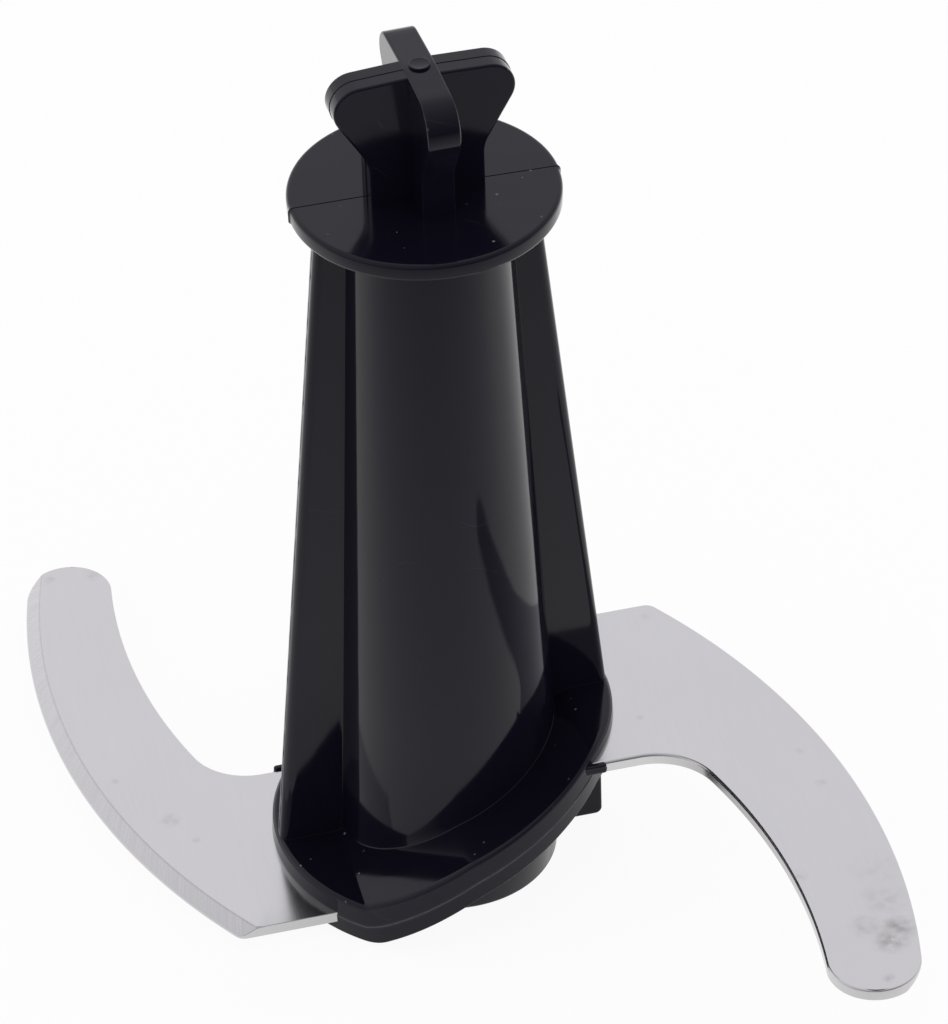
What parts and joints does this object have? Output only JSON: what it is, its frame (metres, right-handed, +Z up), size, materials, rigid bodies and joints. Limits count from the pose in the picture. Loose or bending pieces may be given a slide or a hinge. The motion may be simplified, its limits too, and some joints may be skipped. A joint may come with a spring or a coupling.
{
  "type": "food processor blade",
  "caption": "Tall hollow plastic hub with a cross grip on top and sickle blades at staggered heights, for a spindle-driven bowl.",
  "frame": {"origin": "on the drive axis, in the plane that the hub's round foot stands on", "axes": "+Z up the drive axis towards the grip; +X along the wings towards the upper blade"},
  "size_m": [0.1018, 0.1416, 0.1313],
  "materials": {
    "black_plastic": "semi-gloss, as moulded",
    "stainless_steel": "polished flats, ground bevel"
  },
  "bodies": {
    "root": {"hub": "black_plastic", "lower_blade": "stainless_steel", "upper_blade": "stainless_steel"}
  },
  "joints": []
}
